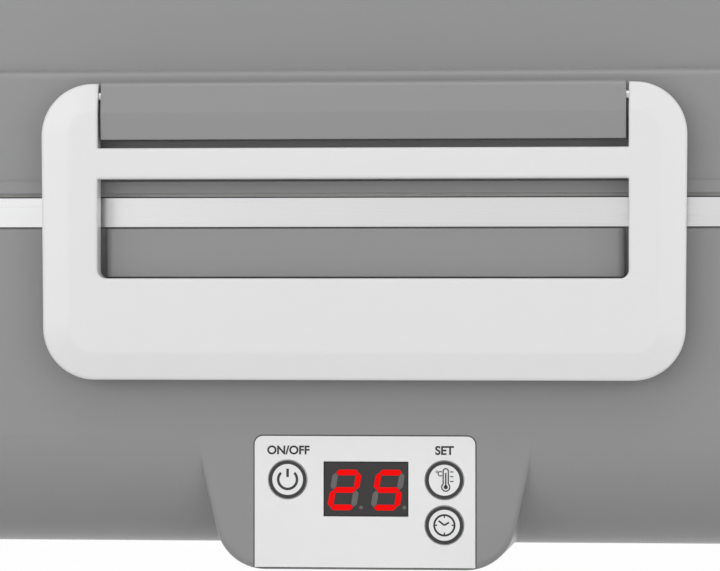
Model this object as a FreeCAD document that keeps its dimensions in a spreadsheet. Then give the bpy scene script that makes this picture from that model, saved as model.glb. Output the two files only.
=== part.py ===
import FreeCAD, Part
import Sketcher
import os
import re
from FreeCAD import Placement, Rotation, Vector

# Filament dryer box: a heated box with a hinged lid, a front latch and a control pod.
# Millimetres. X to the right, -Y to the front, +Z up, origin on the floor under the centre.

# Driving sizes
SIZES = {
    # housing
    "body_width": 270, "body_depth": 118, "corner_radius": 30, "wall": 2.5,
    "base_bottom": 6.6, "base_height": 77.8, "base_round": 27.3,
    "band_height": 7, "band_lip": 1.6, "lid_gap": 1.1, "shadow_height": 0.5, "shadow_depth": 1.0,
    "lip_height": 3.0, "lip_proud": 0.5, "skirt_height": 27.1, "skirt_edge": 2.4,
    "lid_setback": 3, "lid_rise": 122.4, "arch_radius": 70,
    # lid seal
    "seal_inset": 2.0, "seal_width": 2.2, "seal_depth": 2.2, "seal_gap": 0.3,
    # rear hinge
    "knuckle_radius": 4, "hinge_pin": 1.5, "hinge_spacing": 160, "hinge_width": 44, "knuckle_gap": 0.4,
    "knuckle_web": 9, "web_share": 0.7,
    # latch
    "latch_reach": 9, "latch_thickness": 5.5, "latch_half": 77.8, "latch_taper": 0.6,
    "latch_overlap": 26.3, "latch_drop": 36.9, "latch_corner": 12.5,
    "latch_bevel": 6.5, "bevel_depth": 1.6, "arm_width": 13.95,
    "crossbar_low": 3.3, "crossbar_height": 7.4, "window_height": 23.9, "window_corner": 2,
    "latch_wall": 1.8, "latch_axis_drop": 3.1, "latch_axis_depth": 2.9, "latch_pin": 1.2,
    "latch_pin_length": 18, "latch_pin_reach": 5.5,
    "nib_depth": 1.0, "nib_height": 1.6, "nib_width": 8, "nib_spacing": 80,
    "block_gap": 0.65, "block_floor_gap": 2.1, "block_rise": 0.5, "block_front_inset": 0.5,
    "block_crease": 6.5, "block_slope": 1.3, "block_undercut": 0.6, "block_round": 1.6,
    "catch_gap": 1.0, "catch_rise": 0.35, "catch_height": 11.65, "catch_clear": 0.4, "catch_round": 2,
    # control pod
    "pod_half": 33.7, "pod_draft": 9.02, "pod_rise": 36.7, "pod_bottom": 1.3, "pod_round": 12,
    "pod_depth": 28, "pod_flare": 4, "pod_lift": 0.08, "pod_edge": 1.6, "pod_wall": 2.3, "pod_front": 2.2,
    "panel_width": 53.5, "panel_height": 31.7, "panel_foot": 0.8, "panel_thickness": 1.0,
    "panel_proud": 0.2, "panel_gap": 0.25, "panel_corner": 2,
    "key_radius": 4.65, "key_gap": 0.15, "key_spread": 19, "key_high": 5.34, "key_low": 5.53,
    "key_flange": 0.6, "key_flange_thickness": 0.8, "key_stem": 1.8, "key_travel": 0.4, "press_gap": 0.1,
    "key_proud": 0.2, "face_shift": 0.3,
    "display_width": 20.2, "display_height": 12.9, "display_depth": 7, "display_lift": 3.1,
    "display_inset": 0.2, "display_gap": 0.2, "display_pin": 0.3, "pin_pitch": 2.54, "pin_row": 5.2,
    "board_width": 52, "board_height": 30, "board_thickness": 1.6, "board_foot": 3.4, "display_standoff": 2.5,
    "pod_clear": 1.0,
    "post_radius": 2.5, "post_high_x": 22, "post_low_x": 8, "post_high": 14.1, "post_low": 10.4,
    "switch_size": 6, "switch_height": 3.5, "plunger_radius": 1.7, "plunger_height": 0.7,
    "screw_radius": 1.1, "screw_head": 2.1, "screw_head_height": 1.4, "screw_grip": 4,
    # feet and bottom cover
    "foot_x": 116, "foot_y": 42, "foot_radius": 7, "pad_height": 3, "foot_post": 24,
    "cover_width": 190, "cover_depth": 54, "cover_shift": 3, "cover_thickness": 2, "cover_corner": 6,
    "cover_gap": 0.3, "cover_ledge": 7, "slot_length": 34, "slot_width": 2.6, "slot_pitch": 6,
    # drying chamber
    "pan_side": 16, "pan_front_gap": 17, "pan_rear_gap": 15, "pan_floor": 25, "pan_wall": 1,
    "pan_corner": 14, "pan_round": 3.8, "flange_gap": 0.1,
    "roller_radius": 9, "roller_margin": 18, "roller_drop": 12, "roller_gap": 5, "axle_radius": 2.5,
    "cradle_gap": 5, "cradle_end_gap": 4, "cradle_plate": 2, "cradle_wall": 4, "cradle_top": 8,
    "bearing_radius": 7, "bearing_width": 5, "running_fit": 0.05, "roller_bore_gap": 0.8,
    "fan_margin": 31, "fan_size": 40, "fan_height": 10, "fan_bore": 19, "hub_radius": 8.5, "hub_height": 7.5,
    "blade_gap": 1, "blade_count": 7, "blade_thickness": 1.0, "blade_pitch": 4.5,
    "spoke_height": 1.6, "spoke_width": 2.4,
    "rotor_gap": 0.4, "heater_height": 12, "heater_frame": 3, "fin_width": 1.4, "fin_pitch": 3.2,
    "guard_height": 2, "guard_rim": 1.5, "guard_slot": 3,
    "probe_margin": 19, "probe_z": 60, "probe_radius": 2, "probe_length": 14, "probe_collar": 4,
    "probe_collar_height": 3,
    # rear socket and filament outlets
    "socket_x": 80, "socket_z": 40, "socket_radius": 5.5, "socket_flange": 7.5, "socket_plate": 1.5,
    "socket_length": 10, "socket_bore": 3.2, "socket_bore_depth": 9, "socket_pin": 1,
    "bush_z": 158, "bush_bore": 2.1, "bush_radius": 4, "bush_flange": 6.5, "bush_plate": 1.5,
    "bush_length": 10, "seat_gap": 0.02,
}

# Places that follow from the driving sizes
FORMULAS = {
    "side": "body_width / 2",
    "front": "body_depth / 2",
    "base_top": "base_bottom + base_height",
    "band_top": "base_top + band_height",
    "lid_bottom": "band_top + lid_gap",
    "lip_top": "lid_bottom + lip_height",
    "skirt_top": "lip_top + skirt_height",
    "lid_top": "skirt_top + lid_rise",
    "lid_inner": "lid_setback + wall",
    "latch_front": "front + latch_reach",
    "latch_back": "latch_front - latch_thickness",
    "hinge_y": "latch_front - knuckle_radius",
    "hinge_z": "band_top + lid_gap / 2",
    "latch_top": "lid_bottom + latch_overlap",
    "latch_low": "base_top - latch_drop",
    "latch_axis_y": "latch_axis_depth - latch_front",
    "latch_axis_z": "latch_top - latch_axis_drop",
    "notch_half": "latch_half - arm_width",
    "crossbar_bottom": "lid_bottom + crossbar_low",
    "crossbar_top": "crossbar_bottom + crossbar_height",
    "window_bottom": "crossbar_bottom - window_height",
    "block_half": "notch_half - block_gap",
    "block_bottom": "crossbar_top + block_floor_gap",
    "block_top": "latch_top + block_rise",
    "block_front": "latch_front - block_front_inset",
    "catch_half": "notch_half - catch_gap",
    "catch_bottom": "window_bottom + catch_rise",
    "catch_front": "latch_back - catch_clear",
    "panel_bottom": "pod_bottom + panel_foot",
    "panel_z": "panel_bottom + panel_height / 2",
    "panel_front": "front + panel_proud",
    "panel_back": "panel_front - panel_thickness",
    "pod_inside": "panel_back - pod_front",
    "display_front": "panel_front - display_inset",
    "display_back": "display_front - display_depth",
    "board_front": "display_back - display_standoff",
    "board_back": "board_front - board_thickness",
    "room_back": "board_back - screw_head_height - pod_clear",
    "display_z": "panel_z + display_lift",
    "board_low": "panel_bottom + board_foot",
    "pan_top": "band_top - pan_wall",
    "floor_z": "pan_floor + pan_wall",
    "roller_z": "floor_z + roller_drop",
    "pan_width": "body_width - 2 * pan_side",
    "pan_depth": "body_depth - pan_front_gap - pan_rear_gap",
    "pan_shift": "(pan_front_gap - pan_rear_gap) / 2",
    "probe_x": "pan_width / 2 - probe_margin",
    "fan_x": "pan_width / 2 - fan_margin",
    "fan_y": "pan_shift",
    "cradle_width": "2 * (fan_x - fan_size / 2 - cradle_gap)",
    "cradle_depth": "pan_depth - 2 * cradle_end_gap",
    "roller_spread": "cradle_width / 2 - roller_margin",
    "roller_length": "cradle_depth - 2 * cradle_wall - 2 * roller_gap",
    "heater_z": "floor_z + fan_height",
    "guard_z": "heater_z + heater_height",
}

doc = FreeCAD.newDocument("filament_dryer_box")
sheet = doc.addObject("Spreadsheet::Sheet", "sizes")
for row, (alias, number) in enumerate(SIZES.items(), start=1):
    sheet.set(f"A{row}", alias)
    sheet.set(f"B{row}", str(number))
    sheet.setAlias(f"B{row}", alias)
doc.recompute()

subparts = []


def bound(text):
    """Formula text with every size written as a cell of the sheet."""
    def cell(match):
        word = match.group()
        if word in FORMULAS:
            return f"({bound(FORMULAS[word])})"
        return f"sizes.{word}" if word in SIZES else word
    return re.sub(r"[a-z]\w*", cell, str(text))


def value(text):
    """Present value of a formula, in millimetres."""
    return float(sheet.evalExpression(bound(text)))


def bind(item, prop, text):
    item.setExpression(prop, bound(text))


def keep(item, label):
    """Names a finished piece, which is then written as a node of its own."""
    item.Label = label
    subparts.append(item)


def block(name, x, y, z):
    """Box between the two bounds given on each axis."""
    box = doc.addObject("Part::Box", name)
    for edge, axis, (low, high) in zip(("Length", "Width", "Height"), "xyz", (x, y, z)):
        bind(box, edge, f"({high}) - ({low})")
        bind(box, f"Placement.Base.{axis}", low)
    return box


TURNS = {"x": Rotation(Vector(0, 1, 0), 90), "y": Rotation(Vector(1, 0, 0), -90), "z": Rotation()}


def rod(name, axis, centre, radius, low, high):
    """Cylinder along one axis: centre gives the other two places, in the order of the axes."""
    bar = doc.addObject("Part::Cylinder", name)
    bar.Placement = Placement(Vector(), TURNS[axis])
    bind(bar, "Radius", radius)
    bind(bar, "Height", f"({high}) - ({low})")
    bind(bar, f"Placement.Base.{axis}", low)
    for other, place in zip([letter for letter in "xyz" if letter != axis], centre):
        bind(bar, f"Placement.Base.{other}", place)
    return bar


def fuse(name, *pieces):
    joined = doc.addObject("Part::MultiFuse", name)
    joined.Shapes = list(pieces)
    return joined


def cut(name, base, *tools):
    """One piece with others taken out of it."""
    result = doc.addObject("Part::Cut", name)
    result.Base = base
    result.Tool = tools[0] if len(tools) == 1 else fuse(name + "_tools", *tools)
    return result


def group(name, pieces):
    """Like pieces that share a node and stay separate solids."""
    together = doc.addObject("Part::Compound", name)
    together.Links = list(pieces)
    return together


def new_body(name):
    return doc.addObject("PartDesign::Body", name)


def origin_feature(body, role):
    return next(item for item in body.Origin.OriginFeatures if item.Role == role)


def outline(body, plane, corners, offset="0"):
    """Closed sketch whose corners are held at sizes of the sheet, on a plane moved along its normal."""
    sketch = body.newObject("Sketcher::SketchObject", body.Name + "_outline")
    sketch.AttachmentSupport = [(origin_feature(body, plane), "")]
    sketch.MapMode = "FlatFace"
    bind(sketch, "AttachmentOffset.Base.z", offset)
    points = [Vector(value(across), value(up), 0) for across, up in corners]
    for start, end in zip(points, points[1:] + points[:1]):
        sketch.addGeometry(Part.LineSegment(start, end))
    for index in range(len(points)):
        sketch.addConstraint(Sketcher.Constraint("Coincident", index, 2, (index + 1) % len(points), 1))
    for index, place in enumerate(corners):
        for kind, text in zip(("DistanceX", "DistanceY"), place):
            number = sketch.addConstraint(Sketcher.Constraint(kind, -1, 1, index, 1, value(text)))
            bind(sketch, f"Constraints[{number}]", text)
    return sketch


def pad(body, sketch, length, middle=False):
    solid = body.newObject("PartDesign::Pad", body.Name + "_pad")
    solid.Profile = sketch
    solid.SideType = "Symmetric" if middle else "One side"
    bind(solid, "Length", length)
    doc.recompute()
    return solid


def pocket(body, sketch):
    """Cut right through the body, both ways from the sketch."""
    hole = body.newObject("PartDesign::Pocket", body.Name + "_pocket")
    hole.Profile = sketch
    hole.Type = "ThroughAll"
    hole.SideType = "Symmetric"
    doc.recompute()
    return hole


def pattern(body, feature, axis, length, count):
    """Row of copies of one feature, centred by the feature's own first place."""
    row = body.newObject("PartDesign::LinearPattern", body.Name + "_row")
    row.Originals = [feature]
    row.Direction = (origin_feature(body, axis), [""])
    row.Mode = "Extent"
    bind(row, "Length", length)
    bind(row, "Occurrences", count)
    body.Tip = row
    doc.recompute()
    return row


def edge_names(shape, chosen):
    return [f"Edge{number}" for number, edge in enumerate(shape.Edges, start=1) if chosen(edge)]


def round_edges(body, radius, chosen):
    """Fillet on those edges of the body's last feature that pass a test."""
    base = body.Tip
    fillet = body.newObject("PartDesign::Fillet", body.Name + "_round")
    fillet.Base = (base, edge_names(base.Shape, chosen))
    bind(fillet, "Radius", radius)
    doc.recompute()
    return fillet


def along(axis):
    """Test for straight edges that run along one axis."""
    direction = {"x": Vector(1, 0, 0), "y": Vector(0, 1, 0), "z": Vector(0, 0, 1)}[axis]

    def chosen(edge):
        ends = edge.lastVertex().Point - edge.firstVertex().Point
        return abs(abs(ends.dot(direction)) - edge.Length) < 1e-6
    return chosen


def level(axis, place):
    """Test for edges that lie wholly in one plane across an axis."""
    number = value(place)
    bounds = {"x": ("XMin", "XMax"), "y": ("YMin", "YMax"), "z": ("ZMin", "ZMax")}[axis]

    def chosen(edge):
        box = edge.BoundBox
        return all(abs(getattr(box, bound_name) - number) < 1e-4 for bound_name in bounds)
    return chosen


def both(first, second):
    return lambda edge: first(edge) and second(edge)


def rectangle(half_width, low, high):
    return [(f"-({half_width})", low), (half_width, low), (half_width, high), (f"-({half_width})", high)]


def rounded_block(name, inset, low, high, corner="corner_radius"):
    """Upright block on the body's plan, set in from its walls, with rounded corners."""
    body = new_body(name)
    depth = f"front - ({inset})"
    sketch = outline(body, "XY_Plane", rectangle(f"side - ({inset})", f"-({depth})", depth), low)
    pad(body, sketch, f"({high}) - ({low})")
    round_edges(body, f"{corner} - ({inset})", along("z"))
    return body


def ring(name, outer, inner, low, high):
    """Band that follows the body's plan between two insets."""
    return cut(name, rounded_block(name + "_outer", outer, low, high),
               rounded_block(name + "_inner", inner, f"{low} - wall", f"{high} + wall"))


def plan_block(name, half_width, middle, half_depth, low, high, corner):
    """Upright block with rounded corners, free of the body's plan."""
    body = new_body(name)
    sketch = outline(body, "XY_Plane", rectangle(half_width, f"{middle} - ({half_depth})",
                                                 f"{middle} + {half_depth}"), low)
    pad(body, sketch, f"({high}) - ({low})")
    round_edges(body, corner, along("z"))
    return body


def mirrored(place):
    """The same place on the left and on the right."""
    return f"-({place})", place


def shifted(half):
    """Bounds on both sides of the middle of the keys and display."""
    return f"face_shift - ({half})", f"face_shift + {half}"


# Base housing: outer and inner forms share the bottom round, a wall apart
base_outer = rounded_block("base_outer", "0", "base_bottom", "base_top")
round_edges(base_outer, "base_round", level("z", "base_bottom"))
base_inner = rounded_block("base_inner", "wall", "base_bottom + wall", "base_top + wall")
round_edges(base_inner, "base_round - wall", level("z", "base_bottom + wall"))

# Control pod: its front is flush with the wall, its sides flare and its floor lifts towards the back
pod = new_body("pod")
pod_corners = [("-pod_half", "pod_bottom"), ("pod_half", "pod_bottom"),
               ("pod_half + pod_draft", "pod_bottom + pod_rise"),
               ("-pod_half - pod_draft", "pod_bottom + pod_rise")]
pod_pad = pad(pod, outline(pod, "XZ_Plane", pod_corners, "front"), "pod_depth")
pod_pad.Reversed = True
bind(pod_pad, "TaperAngle", "pod_flare")
doc.recompute()
pod_under = [("-front - wall", "pod_bottom - wall * pod_lift"), ("-front - wall", "pod_bottom - pod_depth"),
             ("pod_depth + wall - front", "pod_bottom - pod_depth"),
             ("pod_depth + wall - front", "pod_bottom + (pod_depth + wall) * pod_lift")]
pocket(pod, outline(pod, "YZ_Plane", pod_under))
pod_middle = value("pod_bottom + pod_rise / 2")


def pod_floor_edge(edge):
    ends = [vertex.Point for vertex in edge.Vertexes]
    return all(end.z < pod_middle for end in ends) and abs(ends[0].y - ends[-1].y) > value("wall")


round_edges(pod, "pod_round", pod_floor_edge)
front_edge = level("y", "-front")
roof_edge = level("z", "pod_bottom + pod_rise")
round_edges(pod, "pod_edge", lambda edge: front_edge(edge) and not roof_edge(edge))

pod_room = new_body("pod_room")
room_half = "pod_half - pod_wall"
room_corners = [(f"-({room_half})", "pod_bottom + pod_wall"), (room_half, "pod_bottom + pod_wall"),
                (f"{room_half} + pod_draft", "pod_bottom + pod_rise"),
                (f"-({room_half} + pod_draft)", "pod_bottom + pod_rise")]
pad(pod_room, outline(pod_room, "XZ_Plane", room_corners, "room_back"), "pod_inside - room_back")
round_edges(pod_room, "pod_round - pod_wall", both(along("y"), level("z", "pod_bottom + pod_wall")))


def panel_plate(name, gap, back, thickness):
    """Plate of the control panel's outline, with its two upper corners rounded."""
    body = new_body(name)
    top = f"panel_bottom + panel_height + {gap}"
    corners = rectangle(f"panel_width / 2 + {gap}", f"panel_bottom - {gap}", top)
    pad(body, outline(body, "XZ_Plane", corners, back), thickness)
    round_edges(body, f"panel_corner + {gap}", both(along("y"), level("z", top)))
    return body


KEYS = {"power_key": ("face_shift - key_spread", "panel_z + key_high"),
        "temperature_key": ("face_shift + key_spread", "panel_z + key_high"),
        "timer_key": ("face_shift + key_spread", "panel_z - key_low")}


def panel_openings(name, depth):
    """The three key holes and the display window, from the front back to a depth."""
    holes = [rod(f"{name}_{key}", "y", place, "key_radius + key_gap", "-front - wall", f"-({depth})")
             for key, place in KEYS.items()]
    window = block(f"{name}_window", shifted("display_width / 2 + display_gap"),
                   ("-front - wall", f"-({depth})"),
                   ("display_z - display_height / 2 - display_gap",
                    "display_z + display_height / 2 + display_gap"))
    return holes + [window]


POST_ROWS = (("post_high_x", "panel_z + post_high"), ("post_low_x", "panel_z - post_low"))
POST_PLACES = [(x, z) for reach, z in POST_ROWS for x in mirrored(reach)]
board_posts = [rod("board_post", "y", place, "post_radius", "-pod_inside - pod_front / 2", "-board_front")
               for place in POST_PLACES]
post_bores = [rod("post_bore", "y", place, "screw_radius + seat_gap", "-board_front - screw_grip",
                  "-board_front") for place in POST_PLACES]

# Catch bar on the front wall, just behind the closed latch
catch_bar = new_body("catch_bar")
pad(catch_bar, outline(catch_bar, "XY_Plane", rectangle("catch_half", "-catch_front", "wall / 2 - front"),
                       "catch_bottom"), "catch_height")
round_edges(catch_bar, "catch_round", both(along("z"), level("y", "-catch_front")))

# Rear hinge: each of two hinges has two knuckles on the base and one between them on the lid
third = "hinge_width / 3"
HINGES = mirrored("hinge_spacing / 2")


def knuckle(name, low, high, web):
    """Hinge barrel with the web that carries it, between two places along X."""
    barrel = rod(f"{name}_barrel", "x", ("hinge_y", "hinge_z"), "knuckle_radius", low, high)
    body = new_body(f"{name}_web")
    pad(body, outline(body, "YZ_Plane", web, low), f"({high}) - ({low})")
    return fuse(name, barrel, body)


base_web = [("front - wall / 2", "base_top - knuckle_web"), ("hinge_y + knuckle_radius * web_share",
                                                            "hinge_z - knuckle_radius * web_share"),
            ("hinge_y", "hinge_z"), ("front + knuckle_gap", "hinge_z"), ("front + knuckle_gap", "base_top"),
            ("front - wall / 2", "base_top")]
lid_web = [("front - wall / 2", "lid_bottom"), ("hinge_y", "hinge_z"),
           ("hinge_y + knuckle_radius * web_share", "hinge_z + knuckle_radius * web_share"),
           ("front - wall / 2", "lid_bottom + knuckle_web")]
base_knuckles = []
lid_knuckles = []
for middle in HINGES:
    edges = [f"{middle} + {third} * {share}" for share in (-1.5, -0.5, 0.5, 1.5)]
    base_knuckles.append(knuckle("base_knuckle", edges[0], edges[1], base_web))
    base_knuckles.append(knuckle("base_knuckle", edges[2], edges[3], base_web))
    lid_knuckles.append(knuckle("lid_knuckle", f"{edges[1]} + knuckle_gap", f"{edges[2]} - knuckle_gap",
                                lid_web))
hinge_pins = [rod("hinge_pin", "x", ("hinge_y", "hinge_z"), "hinge_pin", f"{middle} - {third} * 1.5",
                  f"{middle} + {third} * 1.5") for middle in HINGES]
keep(group("hinge_pin_pair", hinge_pins), "lid_hinge_pins")


def hinge_bores(gap):
    return [rod("hinge_bore", "x", ("hinge_y", "hinge_z"), f"hinge_pin + {gap}", f"{middle} - hinge_width",
                f"{middle} + hinge_width") for middle in HINGES]


# Feet, and the opening for the bottom cover with the ledge that it screws to
FEET = [(x, y) for x in mirrored("foot_x") for y in mirrored("foot_y")]
foot_posts = [rod("foot_post", "z", place, "foot_radius", "pad_height", "foot_post") for place in FEET]
keep(group("foot_pads", [rod("foot_pad", "z", place, "foot_radius", "0", "pad_height") for place in FEET]),
     "rubber_feet")


def cover_block(name, grow, low, high):
    return plan_block(name, f"cover_width / 2 + {grow}", "cover_shift", f"cover_depth / 2 + {grow}",
                      low, high, f"cover_corner + {grow}")


cover_face = "base_bottom + cover_thickness"
cover_ledge = cover_block("cover_ledge", "wall", "base_bottom + wall / 2", f"{cover_face} + wall")
cover_recess = cover_block("cover_recess", "cover_gap", "base_bottom - wall", cover_face)
cover_opening = plan_block("cover_opening", "cover_width / 2 - cover_ledge", "cover_shift",
                           "cover_depth / 2 - cover_ledge", "base_bottom", f"{cover_face} + 2 * wall",
                           "cover_corner")
COVER_SCREWS = [(x, f"cover_shift + {y}") for x in mirrored("(cover_width - cover_ledge) / 2")
                for y in mirrored("(cover_depth - cover_ledge) / 2")]
ledge_bores = [rod("ledge_bore", "z", place, "screw_radius + seat_gap", cover_face,
                   f"{cover_face} + 2 * wall") for place in COVER_SCREWS]

socket_hole = rod("socket_hole", "y", ("socket_x", "socket_z"), "socket_radius + seat_gap",
                  "front - 2 * wall", "front + wall")
base_form = cut("base_form", fuse("base_solid", base_outer, pod, catch_bar, *base_knuckles, *foot_posts),
                base_inner, pod_room)
base_shell = cut("base_cut", fuse("base_ribs", base_form, cover_ledge, *board_posts),
                 panel_plate("panel_recess", "panel_gap", "panel_back", "panel_thickness + wall"),
                 ring("band_shadow", "-lip_proud", "shadow_depth", "base_top - shadow_height", "base_top"),
                 cover_recess, cover_opening, socket_hole, *panel_openings("pod", "pod_inside - wall / 2"),
                 *post_bores, *ledge_bores, *hinge_bores("seat_gap"))
keep(base_shell, "base_shell")

# Bottom cover: a flat plate with a row of air slots under the fan
cover = cover_block("cover_plate", "0", "base_bottom", cover_face)
slot_count = "floor((cover_depth - 4 * cover_ledge) / slot_pitch)"
slot_start = f"cover_shift - ({slot_count} - 1) / 2 * slot_pitch"
slot_end = "cover_width / 2 - 2 * cover_ledge"
slot = outline(cover, "XY_Plane", [(f"{slot_end} - slot_length", f"{slot_start} - slot_width / 2"),
                                   (slot_end, f"{slot_start} - slot_width / 2"),
                                   (slot_end, f"{slot_start} + slot_width / 2"),
                                   (f"{slot_end} - slot_length", f"{slot_start} + slot_width / 2")],
               "base_bottom")
pattern(cover, pocket(cover, slot), "Y_Axis", f"({slot_count} - 1) * slot_pitch", slot_count)
keep(cut("cover_cut", cover, *[rod("cover_hole", "z", place, "screw_radius + running_fit",
                                   "base_bottom - wall", f"{cover_face} + wall")
                               for place in COVER_SCREWS]), "bottom_cover")


def screw(axis, place, seat, inward, reach):
    """Screw with a flat head on its seat: inward is + or -, the way the shank goes along the axis."""
    outward = "-" if inward == "+" else "+"
    shank = sorted((seat, f"{seat} {inward} ({reach})"), key=value)
    head = sorted((seat, f"{seat} {outward} screw_head_height"), key=value)
    return fuse("screw", rod("shank", axis, place, "screw_radius", *shank),
                rod("head", axis, place, "screw_head", *head))


keep(group("cover_screws", [screw("z", place, "base_bottom", "+", "cover_thickness + wall")
                            for place in COVER_SCREWS]), "bottom_screws")

# Stainless band between base and lid, with a rabbet for the pan's flange
band = ring("band_ring", "0", "wall", "base_top", "band_top")
keep(cut("band", band, rounded_block("band_rabbet", "band_lip", "pan_top", "band_top + wall")), "rim_band")


# Drying chamber: a drawn pan hung from its flange, open to the fan through its floor
def pan_block(name, inset, low, high):
    body = plan_block(name, f"pan_width / 2 - {inset}", "pan_shift", f"pan_depth / 2 - {inset}", low, high,
                      f"pan_corner - {inset}")
    round_edges(body, f"pan_round - {inset}", level("z", low))
    return body


pan_front = "pan_shift - pan_depth / 2"
pan_outer = pan_block("pan_outer", "0", "pan_floor", "band_top")
pan_inner = pan_block("pan_inner", "pan_wall", "floor_z", "band_top + wall")
pan_flange = rounded_block("pan_flange", "band_lip + flange_gap", "pan_top", "band_top")
fan_hole = rod("fan_hole", "z", ("fan_x", "fan_y"), "fan_bore", "pan_floor - wall", "floor_z + wall")
probe_hole = rod("probe_hole", "y", ("-probe_x", "probe_z"), "probe_radius + seat_gap",
                 f"{pan_front} - wall", f"{pan_front} + wall")
keep(cut("pan", fuse("pan_solid", pan_outer, pan_flange), pan_inner, fan_hole, probe_hole), "chamber_pan")

probe_face = f"{pan_front} - probe_collar_height"
keep(fuse("probe", rod("probe_tip", "y", ("-probe_x", "probe_z"), "probe_radius", probe_face,
                       f"{probe_face} + probe_length"),
          rod("probe_nut", "y", ("-probe_x", "probe_z"), "probe_collar", probe_face, pan_front)),
     "temperature_probe")

# Spool rollers: a cradle with four ears, two fixed axles, and a roller on two bearings on each
ROLLERS = {"left_roller": "-roller_spread", "right_roller": "roller_spread"}
cradle_ends = ("pan_shift - cradle_depth / 2", "pan_shift + cradle_depth / 2 - cradle_wall")
ears = []
for middle in ROLLERS.values():
    for end in cradle_ends:
        ear = new_body("cradle_ear")
        foot_half = "roller_radius + cradle_top"
        corners = [(f"{middle} - {foot_half}", "floor_z"), (f"{middle} + {foot_half}", "floor_z"),
                   (f"{middle} + cradle_top", "roller_z + cradle_top"),
                   (f"{middle} - cradle_top", "roller_z + cradle_top")]
        pad(ear, outline(ear, "XZ_Plane", corners, f"-({end}) - cradle_wall"), "cradle_wall")
        round_edges(ear, "cradle_top / 2", both(along("y"), level("z", "roller_z + cradle_top")))
        ears.append(ear)
cradle_plate = block("cradle_plate", mirrored("cradle_width / 2"),
                     (cradle_ends[0], f"{cradle_ends[1]} + cradle_wall"),
                     ("floor_z", "floor_z + cradle_plate"))


def axle(name, middle, radius):
    return rod(name, "y", (middle, "roller_z"), radius, cradle_ends[0], f"{cradle_ends[1]} + cradle_wall")


keep(cut("cradle", fuse("cradle_solid", cradle_plate, *ears),
         *[axle("axle_seat", middle, "axle_radius + seat_gap") for middle in ROLLERS.values()]),
     "roller_cradle")
keep(group("axle_pair", [axle("axle", middle, "axle_radius") for middle in ROLLERS.values()]), "roller_axles")

roller_low = "pan_shift - roller_length / 2"
roller_high = "pan_shift + roller_length / 2"
bearing_ends = ((roller_low, f"{roller_low} + bearing_width"),
                (f"{roller_high} - bearing_width", roller_high))
for label, middle in ROLLERS.items():
    centre = (middle, "roller_z")
    seats = [rod("bearing_seat", "y", centre, "bearing_radius + seat_gap", *ends) for ends in bearing_ends]
    bore = rod("roller_bore", "y", centre, "axle_radius + roller_bore_gap", roller_low, roller_high)
    bar = rod("roller_bar", "y", centre, "roller_radius", roller_low, roller_high)
    keep(cut("roller", bar, bore, *seats), label)
    bearings = [cut("bearing", rod("race", "y", centre, "bearing_radius", *ends),
                    rod("bearing_bore", "y", centre, "axle_radius + running_fit", *ends))
                for ends in bearing_ends]
    keep(group("bearing_pair", bearings), label + "_bearings")

# Air heater: fan, heating core and guard stacked over the hole in the chamber's floor


def fan_square(name, low, high, shrink="0"):
    body = new_body(name)
    half = f"fan_size / 2 - {shrink}"
    pad(body, outline(body, "XY_Plane", [(f"fan_x {a} ({half})", f"fan_y {b} ({half})")
                                         for a, b in ("--", "+-", "++", "-+")], low), f"({high}) - ({low})")
    return body


def slotted(body, rim, width, pitch, low):
    """Row of through slots inside a rim, centred on the fan."""
    count = f"floor((fan_size - 2 * {rim}) / {pitch})"
    start = f"fan_x - ({count} - 1) / 2 * {pitch}"
    reach = f"(fan_size / 2 - {rim})"
    slot = outline(body, "XY_Plane", [(f"{start} {a} {width} / 2", f"fan_y {b} {reach}")
                                      for a, b in ("--", "+-", "++", "-+")], low)
    pattern(body, pocket(body, slot), "X_Axis", f"({count} - 1) * {pitch}", count)


fan_centre = ("fan_x", "fan_y")
fan_block = fan_square("fan_block", "floor_z", "heater_z")
round_edges(fan_block, "heater_frame", along("z"))
spoke_top = "floor_z + spoke_height"
fan_hub = rod("fan_hub", "z", fan_centre, "hub_radius", "floor_z", spoke_top)
long_half = "fan_bore + blade_gap"
spokes = [block("spoke", (f"fan_x - ({half_x})", f"fan_x + {half_x}"),
                (f"fan_y - ({half_y})", f"fan_y + {half_y}"), ("floor_z", spoke_top))
          for half_x, half_y in ((long_half, "spoke_width / 2"), ("spoke_width / 2", long_half))]
fan_tunnel = rod("fan_tunnel", "z", fan_centre, "fan_bore", "floor_z - wall", "heater_z + wall")
keep(fuse("fan", cut("fan_tube", fan_block, fan_tunnel), fan_hub, *spokes), "fan_frame")

rotor = new_body("rotor")
hub = rotor.newObject("PartDesign::AdditiveCylinder", "rotor_hub")
bind(hub, "Radius", "hub_radius")
bind(hub, "Height", "hub_height")
doc.recompute()
blade_corners = [("-blade_pitch / 2 - blade_thickness / 2", "blade_thickness"),
                 ("-blade_pitch / 2 + blade_thickness / 2", "blade_thickness"),
                 ("blade_pitch / 2 + blade_thickness / 2", "hub_height - blade_thickness"),
                 ("blade_pitch / 2 - blade_thickness / 2", "hub_height - blade_thickness")]
blade = pad(rotor, outline(rotor, "YZ_Plane", blade_corners, "hub_radius - blade_pitch / 2"),
            "fan_bore - blade_gap - hub_radius + blade_pitch / 2")
blade_ring = rotor.newObject("PartDesign::PolarPattern", "blade_ring")
blade_ring.Originals = [blade]
blade_ring.Axis = (origin_feature(rotor, "Z_Axis"), [""])
blade_ring.Angle = 360
bind(blade_ring, "Occurrences", "blade_count")
rotor.Tip = blade_ring
bind(rotor, "Placement.Base.x", "fan_x")
bind(rotor, "Placement.Base.y", "fan_y")
bind(rotor, "Placement.Base.z", f"{spoke_top} + rotor_gap")
keep(rotor, "fan_rotor")

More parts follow.
